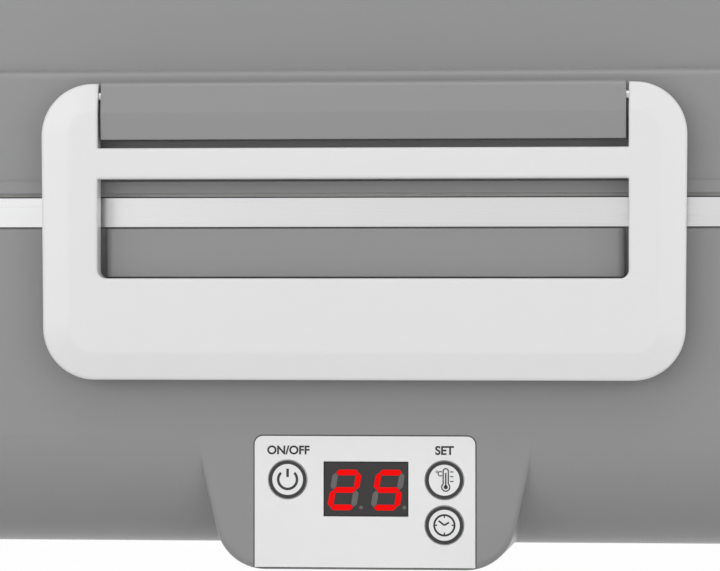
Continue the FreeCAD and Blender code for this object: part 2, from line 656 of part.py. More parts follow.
heater = fan_square("heater", "heater_z", "guard_z")
slotted(heater, "heater_frame", "(fin_pitch - fin_width)", "fin_pitch", "heater_z")
keep(heater, "ptc_heater")
guard = fan_square("guard", "guard_z", "guard_z + guard_height")
slotted(guard, "guard_rim", "guard_slot", "(guard_slot + guard_rim)", "guard_z")
keep(guard, "heater_guard")

# Control board with its screws, display and switches, and the front panel with its keys
board = block("board", mirrored("board_width / 2"), ("-board_front", "-board_back"),
              ("board_low", "board_low + board_height"))
keep(cut("board_cut", board, *[rod("board_hole", "y", place, "screw_radius + running_fit",
                                   "-board_front - wall", "-board_back + wall") for place in POST_PLACES]),
     "control_board")
board_grip = "board_thickness + screw_grip - seat_gap"
keep(group("board_screw_set", [screw("y", place, "-board_back", "-", board_grip) for place in POST_PLACES]),
     "board_screws")

display_face = block("display_case", shifted("display_width / 2"), ("-display_front", "-display_back"),
                     ("display_z - display_height / 2", "display_z + display_height / 2"))
display_pins = [rod("display_pin", "y", (f"face_shift + pin_pitch * {step}", f"display_z {sign} pin_row"),
                    "display_pin", "-display_back - wall", "-board_front")
                for step in range(-2, 3) for sign in "+-"]
keep(fuse("display", display_face, *display_pins), "led_display")

plunger_top = "board_front + switch_height + plunger_height"
switches = []
for x, z in KEYS.values():
    case = block("switch_case", (f"{x} - switch_size / 2", f"{x} + switch_size / 2"),
                 ("-board_front - switch_height", "-board_front"),
                 (f"{z} - switch_size / 2", f"{z} + switch_size / 2"))
    plunger = rod("plunger", "y", (x, z), "plunger_radius", f"-({plunger_top})",
                  "-board_front - switch_height")
    switches.append(fuse("switch", case, plunger))
keep(group("switch_set", switches), "tact_switches")

panel = panel_plate("panel_plate", "0", "panel_back", "panel_thickness")
keep(cut("panel", panel, *panel_openings("panel", "panel_back - wall")), "control_panel")
key_back = "pod_inside - press_gap"
for label, place in KEYS.items():
    cap = rod("key_cap", "y", place, "key_radius", "-panel_front - key_proud", f"-({key_back})")
    flange = rod("key_flange", "y", place, "key_radius + key_flange", f"-({key_back})",
                 f"-({key_back} - key_flange_thickness)")
    stem = rod("key_stem", "y", place, "key_stem", f"-({key_back})",
               f"-({plunger_top} + key_travel + press_gap)")
    keep(fuse("key", cap, flange, stem), label)

# Rear power socket
socket_place = ("socket_x", "socket_z")
socket = fuse("socket_body", rod("socket_barrel", "y", socket_place, "socket_radius",
                                 "front + socket_plate - socket_length", "front"),
              rod("socket_rim", "y", socket_place, "socket_flange", "front", "front + socket_plate"))
socket_face = "front + socket_plate"
socket_cup = cut("socket_cup", socket, rod("socket_bore", "y", socket_place, "socket_bore",
                                           f"{socket_face} - socket_bore_depth", f"{socket_face} + wall"))
keep(fuse("socket", socket_cup, rod("socket_pin", "y", socket_place, "socket_pin",
                                    f"{socket_face} - socket_length", f"{socket_face} - socket_plate")),
     "power_socket")


# Lid: an arched form with rounded edges, standing on a wider skirt with a lip along its foot
def arch(name, inset, low):
    body = new_body(name)
    top = f"lid_top - ({inset} - lid_setback)"
    corners = rectangle(f"side - ({inset})", low, top)
    pad(body, outline(body, "XZ_Plane", corners), f"body_depth - 2 * ({inset})", middle=True)
    round_edges(body, f"arch_radius - ({inset} - lid_setback)", both(along("y"), level("z", top)))
    faces = [level("y", place) for place in mirrored(f"front - ({inset})")]
    foot = level("z", low)
    round_edges(body, f"corner_radius - ({inset})",
                lambda edge: any(face(edge) for face in faces) and not foot(edge))
    return body


skirt = rounded_block("skirt", "0", "lid_bottom", "skirt_top")
round_edges(skirt, "skirt_edge", level("z", "skirt_top"))
lip = rounded_block("lip", "-lip_proud", "lid_bottom", "lip_top")
hinge_block = new_body("hinge_block")
block_profile = [("wall / 2 - front", "block_bottom"), ("block_undercut - block_front", "block_bottom"),
                 ("-block_front", "block_bottom + block_crease"), ("block_slope - block_front", "block_top"),
                 ("wall / 2 - front", "block_top")]
pad(hinge_block, outline(hinge_block, "YZ_Plane", block_profile), "2 * block_half", middle=True)
block_nose = value("block_bottom + block_crease")
round_edges(hinge_block, "block_round",
            lambda edge: along("x")(edge) and edge.Vertexes[0].Z >= block_nose - 1e-6
            and edge.Vertexes[0].Y < value("block_slope - block_front") + 1e-6)

pin_outer = "notch_half + latch_pin_reach"
latch_axis = ("latch_axis_y", "latch_axis_z")


def latch_rods(name, radius, extra):
    """Left and right rods on the latch's axis, longer at both ends by an extra."""
    inner = f"({pin_outer} - latch_pin_length - {extra})"
    outer = f"({pin_outer} + {extra})"
    return [rod(name, "x", latch_axis, radius, f"-{outer}", f"-{inner}"),
            rod(name, "x", latch_axis, radius, inner, outer)]


def bush_rod(name, sign, radius, inner, outer):
    low, high = (inner, outer) if sign > 0 else (f"-({outer})", f"-({inner})")
    return rod(name, "x", ("0", "bush_z"), radius, low, high)


lid_side = "side - lid_setback"
bush_end = f"{lid_side} + bush_plate - bush_length"
bush_holes = [bush_rod("bush_hole", sign, "bush_radius + seat_gap", bush_end, f"{lid_side} + wall")
              for sign in (-1, 1)]
seal_groove = ring("seal_groove", "seal_inset", "seal_inset + seal_width", "lid_bottom - wall",
                   "lid_bottom + seal_depth")
lid_solid = fuse("lid_solid", arch("lid_outer", "lid_setback", "lid_bottom"), skirt, lip)
lid_form = cut("lid_form", lid_solid, arch("lid_inner", "lid_inner", "lid_bottom - wall"), seal_groove)
keep(cut("lid", fuse("lid_fittings", lid_form, hinge_block, *lid_knuckles), *bush_holes,
         *latch_rods("latch_seat", "latch_pin + seat_gap", "seat_gap"), *hinge_bores("running_fit")),
     "lid_shell")
keep(ring("gasket", "seal_inset + seat_gap", "seal_inset + seal_width - seat_gap", "band_top + seal_gap",
          "lid_bottom + seal_depth"), "lid_gasket")
for label, sign in (("filament_bush_left", -1), ("filament_bush_right", 1)):
    sleeve = bush_rod("bush_sleeve", sign, "bush_radius", bush_end, lid_side)
    rim = bush_rod("bush_rim", sign, "bush_flange", lid_side, f"{lid_side} + bush_plate")
    keep(cut("bush", fuse("bush_solid", sleeve, rim),
             bush_rod("bush_bore", sign, "bush_bore", f"{bush_end} - wall", f"{lid_side} + wall")), label)

# Latch: a bevelled plate with a notch round the hinge block and a window over the catch bar
latch = new_body("latch")
low_half = "latch_half - latch_taper"
latch_corners = [(f"-({low_half})", "latch_low"), (low_half, "latch_low"), ("latch_half", "latch_top"),
                 ("-latch_half", "latch_top")]
pad(latch, outline(latch, "XZ_Plane", latch_corners, "latch_back"), "latch_thickness")
round_edges(latch, "latch_corner", along("y"))
bevel_base = latch.Tip
bevel = latch.newObject("PartDesign::Chamfer", "latch_border")
bevel.Base = (bevel_base, edge_names(bevel_base.Shape, level("y", "-latch_front")))
bevel.ChamferType = "Two distances"
bind(bevel, "Size", "latch_bevel")
bind(bevel, "Size2", "bevel_depth")
bevel.FlipDirection = True
doc.recompute()
pocket(latch, outline(latch, "XZ_Plane", rectangle("notch_half", "crossbar_top", "latch_top + wall"),
                      "latch_back"))
pocket(latch, outline(latch, "XZ_Plane", rectangle("notch_half", "window_bottom", "crossbar_bottom"),
                      "latch_back"))
round_edges(latch, "window_corner", both(along("y"), level("z", "window_bottom")))

# The latch's back is hollowed between ribs, and two nibs under the window snap below the catch bar
room_count = 3
room_span = f"2 * (notch_half - latch_wall) / {room_count}"
latch_rooms = []
for index in range(room_count):
    left = f"latch_wall - notch_half + {room_span} * {index}"
    latch_rooms.append(block("latch_room",
                             (f"{left} + latch_wall / 2", f"{left} + {room_span} - latch_wall / 2"),
                             ("latch_wall - latch_front", "wall - latch_back"),
                             ("latch_low + latch_bevel + latch_wall",
                              "window_bottom - nib_height - latch_wall")))
nibs = [block("nib", (f"{middle} - nib_width / 2", f"{middle} + nib_width / 2"),
              ("-latch_back - latch_wall", "nib_depth - latch_back"),
              ("window_bottom - nib_height", "window_bottom")) for middle in mirrored("nib_spacing / 2")]
keep(fuse("latch_whole", cut("latch_cut", latch, *latch_rooms,
                             *latch_rods("latch_bore", "latch_pin + running_fit", "seat_gap")), *nibs),
     "latch_plate")
keep(group("latch_pin_pair", latch_rods("latch_rod", "latch_pin", "0")), "latch_pins")

# Every feature has to be sound before a piece is written
doc.recompute()
for item in doc.Objects:
    if {"Invalid", "Error"} & set(item.State):
        raise RuntimeError(f"{item.Label} failed: {item.State}")
for piece in subparts:
    if piece.Shape.isNull() or not piece.Shape.isValid() or not piece.Shape.Solids:
        raise RuntimeError(f"{piece.Label} is not a sound solid")
os.makedirs("parts", exist_ok=True)
for piece in subparts:
    piece.Shape.exportStep(f"parts/{piece.Label}.step")
    print(piece.Label, len(piece.Shape.Solids), round(piece.Shape.Volume))
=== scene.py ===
import math
import bmesh
import bpy
from mathutils import Matrix, Vector


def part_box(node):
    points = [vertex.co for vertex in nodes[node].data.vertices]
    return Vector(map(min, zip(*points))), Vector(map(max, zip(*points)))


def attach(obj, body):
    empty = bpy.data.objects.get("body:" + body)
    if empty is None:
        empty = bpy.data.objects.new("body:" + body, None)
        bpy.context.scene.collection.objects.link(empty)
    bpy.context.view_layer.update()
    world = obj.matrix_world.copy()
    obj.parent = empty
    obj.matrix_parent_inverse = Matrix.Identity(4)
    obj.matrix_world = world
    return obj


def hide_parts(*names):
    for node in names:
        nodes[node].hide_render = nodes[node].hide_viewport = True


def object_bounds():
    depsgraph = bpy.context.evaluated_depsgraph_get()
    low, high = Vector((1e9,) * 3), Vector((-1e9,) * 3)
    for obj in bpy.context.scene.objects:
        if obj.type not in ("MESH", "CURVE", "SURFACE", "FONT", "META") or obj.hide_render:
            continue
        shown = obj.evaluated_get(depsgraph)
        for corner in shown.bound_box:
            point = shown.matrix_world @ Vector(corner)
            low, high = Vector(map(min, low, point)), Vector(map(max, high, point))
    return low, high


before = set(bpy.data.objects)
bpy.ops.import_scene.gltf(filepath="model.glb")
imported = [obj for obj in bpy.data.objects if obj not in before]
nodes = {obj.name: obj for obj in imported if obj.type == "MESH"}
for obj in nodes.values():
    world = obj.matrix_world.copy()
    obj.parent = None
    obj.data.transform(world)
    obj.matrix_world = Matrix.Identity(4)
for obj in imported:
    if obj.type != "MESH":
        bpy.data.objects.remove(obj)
cad_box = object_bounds()
MM = 0.001

# Grey housing: lid, base and bottom cover are injection moulded in one satin grey plastic.
# The mould leaves a fine spark-eroded grain, and the gloss varies a little over the walls.
SHELL_GREY = (0.250, 0.250, 0.252, 1)


def new_material(name, color, roughness, metallic=0.0, coat=0.0):
    material = bpy.data.materials.new(name)
    material.use_nodes = True
    shader = material.node_tree.nodes["Principled BSDF"]
    shader.inputs["Base Color"].default_value = color
    shader.inputs["Roughness"].default_value = roughness
    shader.inputs["Metallic"].default_value = metallic
    shader.inputs["Coat Weight"].default_value = coat
    shader.inputs["Coat Roughness"].default_value = 0.12
    return material, shader


def add_node(material, kind, **values):
    node = material.node_tree.nodes.new(kind)
    for key, setting in values.items():
        if key in node.inputs:
            node.inputs[key].default_value = setting
        else:
            setattr(node, key, setting)
    return node


def grained(name, color, roughness, grain=2600.0, bump=0.05, tint=0.05, gloss=0.05, stretch=(1, 1, 1),
            edge=0.0, **more):
    """Procedural finish: grain in the bump, slow drift in colour and gloss, edges softened."""
    material, shader = new_material(name, color, roughness, **more)
    link = material.node_tree.links.new
    place = add_node(material, "ShaderNodeTexCoord")
    mapping = add_node(material, "ShaderNodeMapping", Scale=stretch)
    link(place.outputs["Object"], mapping.inputs["Vector"])
    fine = add_node(material, "ShaderNodeTexNoise", Scale=grain, Detail=3.0, Roughness=0.6)
    slow = add_node(material, "ShaderNodeTexNoise", Scale=18.0, Detail=4.0, Roughness=0.55)
    link(mapping.outputs["Vector"], fine.inputs["Vector"])
    link(mapping.outputs["Vector"], slow.inputs["Vector"])
    shade = add_node(material, "ShaderNodeMapRange")
    shade.inputs["To Min"].default_value = 1.0 - tint
    shade.inputs["To Max"].default_value = 1.0 + tint
    link(slow.outputs["Fac"], shade.inputs["Value"])
    color_drift = add_node(material, "ShaderNodeVectorMath", operation="SCALE")
    color_drift.inputs[0].default_value = color[:3]
    link(shade.outputs["Result"], color_drift.inputs["Scale"])
    link(color_drift.outputs["Vector"], shader.inputs["Base Color"])
    polish = add_node(material, "ShaderNodeMapRange")
    polish.inputs["To Min"].default_value = roughness - gloss
    polish.inputs["To Max"].default_value = roughness + gloss
    link(fine.outputs["Fac"], polish.inputs["Value"])
    link(polish.outputs["Result"], shader.inputs["Roughness"])
    relief = add_node(material, "ShaderNodeBump", Strength=bump, Distance=0.0002)
    link(fine.outputs["Fac"], relief.inputs["Height"])
    if edge:
        softened = add_node(material, "ShaderNodeBevel", Radius=edge)
        softened.samples = 8
        link(softened.outputs["Normal"], relief.inputs["Normal"])
    link(relief.outputs["Normal"], shader.inputs["Normal"])
    return material


def finish_node(name, material):
    mesh = nodes[name].data
    mesh.materials.clear()
    mesh.materials.append(material)


SHELL_EDGE = 0.4 * MM
shell_plastic = grained("shell_plastic", SHELL_GREY, 0.34, grain=3200.0, bump=0.08, tint=0.02,
                        edge=SHELL_EDGE, coat=0.12)
for part in ("lid_shell", "base_shell", "bottom_cover"):
    finish_node(part, shell_plastic)

# Steel band between lid and base, and the drawn chamber pan hung inside it.
# Both are stainless sheet, brushed along the rim so that the streaks run level.
BAND_STEEL = (0.665, 0.665, 0.67, 1)
brushed_steel = grained("brushed_steel", BAND_STEEL, 0.30, grain=420.0, bump=0.06, tint=0.05, gloss=0.10,
                        stretch=(0.02, 0.02, 6.0), metallic=1.0)
for part in ("rim_band", "chamber_pan", "heater_guard"):
    finish_node(part, brushed_steel)

# Latch: one white glossy moulding with a bevelled border, swinging on two steel pins in the lid.
# Its wide faces keep the polish of the mould, with a faint ripple of shrinkage.
LATCH_WHITE = (0.72, 0.72, 0.72, 1)
LATCH_EDGE = 1.4 * MM
latch_plastic = grained("latch_plastic", LATCH_WHITE, 0.30, grain=1500.0, bump=0.03, tint=0.01,
                        edge=LATCH_EDGE, coat=0.2)
finish_node("latch_plate", latch_plastic)

# Plain steel pins, axles, bearings, screws and probe: ground or turned bright steel.
# The pins and axles sit in bored seats, and the screws hold the board and the cover.
PIN_STEEL = (0.56, 0.56, 0.58, 1)
bright_steel = grained("bright_steel", PIN_STEEL, 0.28, grain=900.0, tint=0.04, gloss=0.08, metallic=1.0)
for part in ("latch_pins", "lid_hinge_pins", "roller_axles", "left_roller_bearings",
             "right_roller_bearings", "bottom_screws", "board_screws", "temperature_probe"):
    finish_node(part, bright_steel)

# Fan, power socket and switches: small black mouldings, fixed with their own pins, nuts or solder.
# The plastic is filled, so it is matt and a little uneven.
MOULDING_BLACK = (0.022, 0.022, 0.024, 1)
black_moulding = grained("black_moulding", MOULDING_BLACK, 0.45, grain=1200.0, tint=0.10)
for part in ("fan_frame", "fan_rotor", "power_socket", "tact_switches"):
    finish_node(part, black_moulding)

# Spool rollers and their cradle: dark tough plastic, turned or moulded, on the chamber's floor.
# Spools rub the rollers, so their gloss is patchy.
ROLLER_GREY = (0.055, 0.055, 0.058, 1)
roller_moulding = grained("roller_moulding", ROLLER_GREY, 0.5, grain=900.0, tint=0.10, gloss=0.12)
for part in ("roller_cradle", "left_roller", "right_roller"):
    finish_node(part, roller_moulding)

# Feet: black rubber pads under the four posts of the base.
# Rubber is dull, with a fine bloom.
FOOT_BLACK = (0.03, 0.03, 0.031, 1)
finish_node("rubber_feet", grained("foot_rubber", FOOT_BLACK, 0.8, grain=1600.0, bump=0.12, tint=0.15))

# Lid seal: a pale silicone cord pressed into the groove under the lid's rim.
# Silicone is soft and slightly waxy.
SEAL_WHITE = (0.62, 0.62, 0.60, 1)
finish_node("lid_gasket", grained("seal_silicone", SEAL_WHITE, 0.55, grain=1400.0, tint=0.05))

# Heater: aluminium fins in a frame, clamped between the fan and its guard.
# The fins are rolled strip, with drawn marks along their height.
FIN_GREY = (0.72, 0.72, 0.73, 1)
finish_node("ptc_heater", grained("heater_aluminium", FIN_GREY, 0.4, grain=700.0, tint=0.08,
                                  stretch=(1, 1, 0.1), metallic=1.0))

# Control board: green lacquered laminate on four posts behind the panel.
# The weave shows faintly through the lacquer.
LACQUER_GREEN = (0.02, 0.13, 0.05, 1)
board_lacquer = grained("board_lacquer", LACQUER_GREEN, 0.35, grain=1100.0, tint=0.12, coat=0.3)
finish_node("control_board", board_lacquer)

# Filament outlets: turned brass bushes pressed into the lid's two ends.
# Turning leaves fine rings on their flanges.
BRASS = (0.72, 0.50, 0.20, 1)
bush_brass = grained("bush_brass", BRASS, 0.3, grain=900.0, tint=0.08, metallic=1.0)
for part in ("filament_bush_left", "filament_bush_right"):
    finish_node(part, bush_brass)

# Bottom cover screws: countersunk steel screws, driven flush with the cover's underside.
# Each head has a hexagon socket; the shank goes up through the cover into the ledge.
HEAD_RADIUS = 2.1 * MM
HEAD_DEPTH = 1.2 * MM
HEAD_PROUD = 0.04 * MM
SHANK_RADIUS = 1.05 * MM
SOCKET_RADIUS = 0.95 * MM
SOCKET_DEPTH = 0.7 * MM
cover_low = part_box("bottom_cover")[0]
screws_low, screws_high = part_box("bottom_screws")
head_z = cover_low.z - HEAD_PROUD
shank_top = screws_high.z - head_z
outline = ((0, SOCKET_DEPTH), (SOCKET_RADIUS, SOCKET_DEPTH), (SOCKET_RADIUS, 0), (HEAD_RADIUS, 0),
           (SHANK_RADIUS, HEAD_DEPTH), (SHANK_RADIUS, shank_top), (0, shank_top))
screw_mesh = bmesh.new()
points = [screw_mesh.verts.new((reach, 0, rise)) for reach, rise in outline]
edges = [screw_mesh.edges.new(pair) for pair in zip(points, points[1:])]
bmesh.ops.spin(screw_mesh, geom=points + edges, cent=(0, 0, 0), axis=(0, 0, 1), angle=math.tau, steps=24)
bmesh.ops.remove_doubles(screw_mesh, verts=screw_mesh.verts, dist=1e-6)
for point in screw_mesh.verts:
    if abs(point.co.xy.length - SOCKET_RADIUS) < 1e-6:
        turn = math.atan2(point.co.y, point.co.x) % (math.pi / 3) - math.pi / 6
        point.co.xy = point.co.xy * math.cos(math.pi / 6) / math.cos(turn)
first_screw = screw_mesh.verts[:] + screw_mesh.edges[:] + screw_mesh.faces[:]
first_points = screw_mesh.verts[:]
for screw_x in (screws_low.x + HEAD_RADIUS, screws_high.x - HEAD_RADIUS):
    for screw_y in (screws_low.y + HEAD_RADIUS, screws_high.y - HEAD_RADIUS):
        copy = bmesh.ops.duplicate(screw_mesh, geom=first_screw)["geom"]
        copied_points = [item for item in copy if isinstance(item, bmesh.types.BMVert)]
        bmesh.ops.translate(screw_mesh, verts=copied_points, vec=(screw_x, screw_y, head_z))
bmesh.ops.delete(screw_mesh, geom=first_points, context="VERTS")
bmesh.ops.recalc_face_normals(screw_mesh, faces=screw_mesh.faces)
screw_data = bpy.data.meshes.new("cover_screws")
screw_mesh.to_mesh(screw_data)
screw_mesh.free()
screw_data.materials.append(bright_steel)
cover_screws = bpy.data.objects.new("cover_screws", screw_data)
bpy.context.collection.objects.link(cover_screws)
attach(cover_screws, "base")
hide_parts("bottom_screws")

# Control panel and its three keys: white printed plastic, set flush into the pod's front.
# The sheet has a fine matt print grain.
PANEL_WHITE = (0.785, 0.785, 0.785, 1)
panel_plastic = grained("panel_plastic", PANEL_WHITE, 0.42, grain=4000.0, bump=0.05, tint=0.01)
for part in ("control_panel", "power_key", "temperature_key", "timer_key"):
    finish_node(part, panel_plastic)

# Printing on the panel and keys: dark ink laid on as a film, rings and signs on the keys, words above.
# Each print is a thin sheet on the face that carries it and moves with that key.
INK = (0.018, 0.018, 0.02, 1)
FILM = 0.03 * MM
print_ink = grained("print_ink", INK, 0.5, grain=3000.0, tint=0.15)


def face_of(node):
    """Front plane of a node, on which print is laid."""
    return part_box(node)[0][1]


def middle_of(node):
    low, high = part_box(node)
    return (low[0] + high[0]) / 2, (low[2] + high[2]) / 2


def add_arc(mesh, x, z, outer, stroke, start=0.0, sweep=360.0, steps=48):
    """Flat ring or arc on the front plane, angles counted from the top, spun about its centre."""
    turn = Matrix.Rotation(math.radians(start), 4, "Y")
    inner_point = turn @ Vector((0, 0, outer - stroke))
    outer_point = turn @ Vector((0, 0, outer))
    centre = Vector((x, 0, z))
    ends = [mesh.verts.new(centre + inner_point), mesh.verts.new(centre + outer_point)]
    edge = mesh.edges.new(ends)
    bmesh.ops.spin(mesh, geom=ends + [edge], cent=centre, axis=(0, 1, 0), angle=math.radians(sweep),
                   steps=steps, use_merge=sweep >= 360.0)


def add_disc(mesh, x, z, radius, segments=24):
    bmesh.ops.create_circle(mesh, cap_ends=True, segments=segments, radius=radius,
                            matrix=Matrix.Translation((x, 0, z)) @ Matrix.Rotation(math.pi / 2, 4, "X"))


def add_stroke(mesh, x0, z0, x1, z1, width):
    """Straight stroke between two points, as one flat face."""
    run = Vector((x1 - x0, 0, z1 - z0))
    aside = Vector((-run.z, 0, run.x)).normalized() * width / 2
    points = [Vector((x0, 0, z0)) - aside, Vector((x1, 0, z1)) - aside,
              Vector((x1, 0, z1)) + aside, Vector((x0, 0, z0)) + aside]
    mesh.faces.new([mesh.verts.new(point) for point in points])


def film_piece(name, mesh, plane, body, material, thickness=FILM):
    """Gives flat print its thickness, sets it on its plane and lets it ride on a body."""
    bmesh.ops.remove_doubles(mesh, verts=mesh.verts, dist=1e-7)
    sheet = bmesh.ops.extrude_face_region(mesh, geom=mesh.faces[:])
    raised = [item for item in sheet["geom"] if isinstance(item, bmesh.types.BMVert)]
    bmesh.ops.translate(mesh, verts=raised, vec=(0, -thickness, 0))
    bmesh.ops.translate(mesh, verts=mesh.verts, vec=(0, plane, 0))
    bmesh.ops.recalc_face_normals(mesh, faces=mesh.faces)
    data = bpy.data.meshes.new(name)
    mesh.to_mesh(data)
    mesh.free()
    data.materials.append(material)
    piece = bpy.data.objects.new(name, data)
    bpy.context.collection.objects.link(piece)
    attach(piece, body)
    return piece


RING_OUTER = 4.6 * MM
RING_STROKE = 0.86 * MM
signs = {}
for key in ("power_key", "temperature_key", "timer_key"):
    signs[key] = bmesh.new()
    add_arc(signs[key], *middle_of(key), RING_OUTER, RING_STROKE, steps=64)

# power sign: an open circle with a bar in its gap
x, z = middle_of("power_key")
SIGN = 0.62 * MM
POWER_RADIUS = 2.6 * MM
POWER_BAR_LOW = 0.6 * MM
add_arc(signs["power_key"], x, z, POWER_RADIUS, SIGN, start=45, sweep=270, steps=36)
add_stroke(signs["power_key"], x, z + POWER_BAR_LOW, x, z + POWER_RADIUS, SIGN)

# thermometer sign: a stem with a round top, a bulb, three ticks and a degree letter
THERMOMETER_ASIDE = 0.34 * MM
LINE = 0.30 * MM
STEM_HALF = 0.62 * MM
STEM_RISE = 2.15 * MM
BULB_DROP = 1.68 * MM
BULB_RADIUS = 1.12 * MM
BULB_DOT = 0.5 * MM
NECK_RISE = 0.75 * MM
COLUMN_WIDTH = 0.34 * MM
COLUMN_GAP = 0.4 * MM
TICK_TOP = 2.0 * MM
TICK_STEP = 1.15 * MM
TICK_START = 1.05 * MM
TICK_END = 1.85 * MM
TICK_WIDTH = 0.26 * MM
x, z = middle_of("temperature_key")
x += THERMOMETER_ASIDE
stem_top, bulb_z = z + STEM_RISE, z - BULB_DROP
thermometer = signs["temperature_key"]
add_arc(thermometer, x, stem_top, STEM_HALF + LINE / 2, LINE, start=-90, sweep=180, steps=16)
for side_x in (x - STEM_HALF, x + STEM_HALF):
    add_stroke(thermometer, side_x, stem_top, side_x, bulb_z + NECK_RISE, LINE)
add_arc(thermometer, x, bulb_z, BULB_RADIUS, LINE, start=38, sweep=284, steps=28)
add_disc(thermometer, x, bulb_z, BULB_DOT)
add_stroke(thermometer, x, bulb_z, x, stem_top - COLUMN_GAP, COLUMN_WIDTH)
for row in range(3):
    tick_z = z + TICK_TOP - TICK_STEP * row
    add_stroke(thermometer, x + TICK_START, tick_z, x + TICK_END, tick_z, TICK_WIDTH)
add_arc(thermometer, x - 2.15 * MM, z + 2.05 * MM, 0.3 * MM, 0.14 * MM, steps=16)
add_arc(thermometer, x - 1.3 * MM, z + 1.55 * MM, 0.66 * MM, 0.24 * MM, start=130, sweep=280, steps=20)

# clock sign: a circle with four ticks and two hands
CLOCK_RADIUS = 2.70 * MM
CLOCK_LINE = 0.48 * MM
MARK_INNER = 1.75 * MM
MARK_OUTER = 2.3 * MM
MARK_WIDTH = 0.3 * MM
HAND_WIDTH = 0.42 * MM
HANDS = ((-52, 1.75 * MM), (58, 1.35 * MM))
x, z = middle_of("timer_key")
clock = signs["timer_key"]
add_arc(clock, x, z, CLOCK_RADIUS, CLOCK_LINE, steps=48)
for quarter in range(4):
    way = Matrix.Rotation(math.radians(90 * quarter), 3, "Y") @ Vector((0, 0, 1))
    add_stroke(clock, x + way.x * MARK_INNER, z + way.z * MARK_INNER,
               x + way.x * MARK_OUTER, z + way.z * MARK_OUTER, MARK_WIDTH)
for angle, reach in HANDS:
    hand = Matrix.Rotation(math.radians(angle), 3, "Y") @ Vector((0, 0, 1))
    add_stroke(clock, x, z, x + hand.x * reach, z + hand.z * reach, HAND_WIDTH)

KEY_BODIES = {"power_key": "power_button", "temperature_key": "temperature_button",
              "timer_key": "timer_button"}
for key, body in KEY_BODIES.items():
    film_piece(key + "_print", signs[key], face_of(key), body, print_ink)


BOLD = 0.03


def add_words(name, words, centre_x, base_z, width):
    """One printed word, scaled to its width, made a mesh before it is set on the panel."""
    curve = bpy.data.curves.new(name, "FONT")
    curve.body = words
    curve.align_x = "CENTER"
    curve.offset = BOLD
    writer = bpy.data.objects.new(name + "_writer", curve)
    bpy.context.collection.objects.link(writer)
    bpy.context.view_layer.update()
    flat = bpy.data.meshes.new_from_object(writer)
    bpy.data.objects.remove(writer)
    mesh = bmesh.new()
    mesh.from_mesh(flat)
    bpy.data.meshes.remove(flat)
    across = [vertex.co.x for vertex in mesh.verts]
    size = width / (max(across) - min(across))
    upright = Matrix.Rotation(math.pi / 2, 4, "X") @ Matrix.Scale(size, 4)
    stand = Matrix.Translation((centre_x, 0, base_z)) @ upright
    bmesh.ops.transform(mesh, matrix=stand, verts=mesh.verts)
    return film_piece(name, mesh, face_of("control_panel"), "base", print_ink)


WORD_RISE = 11.5 * MM
POWER_WORD_ASIDE = 0.15 * MM
POWER_WORD_WIDTH = 10.3 * MM
SETTING_WORD_WIDTH = 4.5 * MM
word_z = middle_of("control_panel")[1] + WORD_RISE
add_words("power_word", "ON/OFF", middle_of("power_key")[0] + POWER_WORD_ASIDE, word_z, POWER_WORD_WIDTH)
add_words("setting_word", "SET", middle_of("temperature_key")[0], word_z, SETTING_WORD_WIDTH)

# Two-digit display: a dark resin face with slanted bars, lit red or left dull, and decimal points.
# It is soldered to the board behind the panel's window; the bars are cast into its face.
DISPLAY_DARK = (0.036, 0.033, 0.033, 1)
UNLIT = (0.105, 0.102, 0.100, 1)
LIT = (0.16, 0.001, 0.001, 1)
GLOW = (1.0, 0.002, 0.003, 1)
display_resin = grained("display_resin", DISPLAY_DARK, 0.35, grain=1800.0, tint=0.06)
display_resin.node_tree.nodes["Principled BSDF"].inputs["Specular IOR Level"].default_value = 0.25
finish_node("led_display", display_resin)
unlit_bar = grained("unlit_bar", UNLIT, 0.4, grain=1500.0, tint=0.06)
lit_bar = grained("lit_bar", LIT, 0.4, grain=1500.0, tint=0.06)
lit_shader = lit_bar.node_tree.nodes["Principled BSDF"]
lit_shader.inputs["Emission Color"].default_value = GLOW
lit_shader.inputs["Specular IOR Level"].default_value = 0.05
lit_shader.inputs["Emission Strength"].default_value = 0.74
DIGIT_HIGH = 8.45 * MM
DIGIT_WIDE = 5.67 * MM
BAR = 1.38 * MM
BAR_GAP = 0.10 * MM
DIGIT_DROP = 0.24 * MM
POINT = 0.46 * MM
POINT_ASIDE = 4.0 * MM
SLANT = math.tan(math.radians(9))
HALF_H, HALF_W = DIGIT_HIGH / 2, DIGIT_WIDE / 2
CORNERS = {"top_left": (-HALF_W, HALF_H), "top_right": (HALF_W, HALF_H), "mid_left": (-HALF_W, 0.0),
           "mid_right": (HALF_W, 0.0), "low_left": (-HALF_W, -HALF_H), "low_right": (HALF_W, -HALF_H)}
BARS = {"a": ("top_left", "top_right"), "b": ("top_right", "mid_right"), "c": ("mid_right", "low_right"),
        "d": ("low_left", "low_right"), "e": ("mid_left", "low_left"), "f": ("top_left", "mid_left"),
        "g": ("mid_left", "mid_right")}
SHOWN = (("tens", -5.2 * MM, "abged"), ("ones", 5.3 * MM, "afgcd"))


def add_bar(mesh, start, end, centre_x, centre_z):
    """Bar with pointed ends between two corners of a digit, leaned over with the digit."""
    low, high = Vector((start[0], 0, start[1])), Vector((end[0], 0, end[1]))
    way = (high - low).normalized()
    aside = Vector((-way.z, 0, way.x)) * BAR / 2
    tip_low, tip_high = low + way * BAR_GAP, high - way * BAR_GAP
    shoulder = way * BAR / 2
    outline = [tip_low, tip_low + shoulder - aside, tip_high - shoulder - aside, tip_high,
               tip_high - shoulder + aside, tip_low + shoulder + aside]
    corners = [mesh.verts.new((point.x + point.z * SLANT + centre_x, 0, point.z + centre_z))
               for point in outline]
    mesh.faces.new(corners)


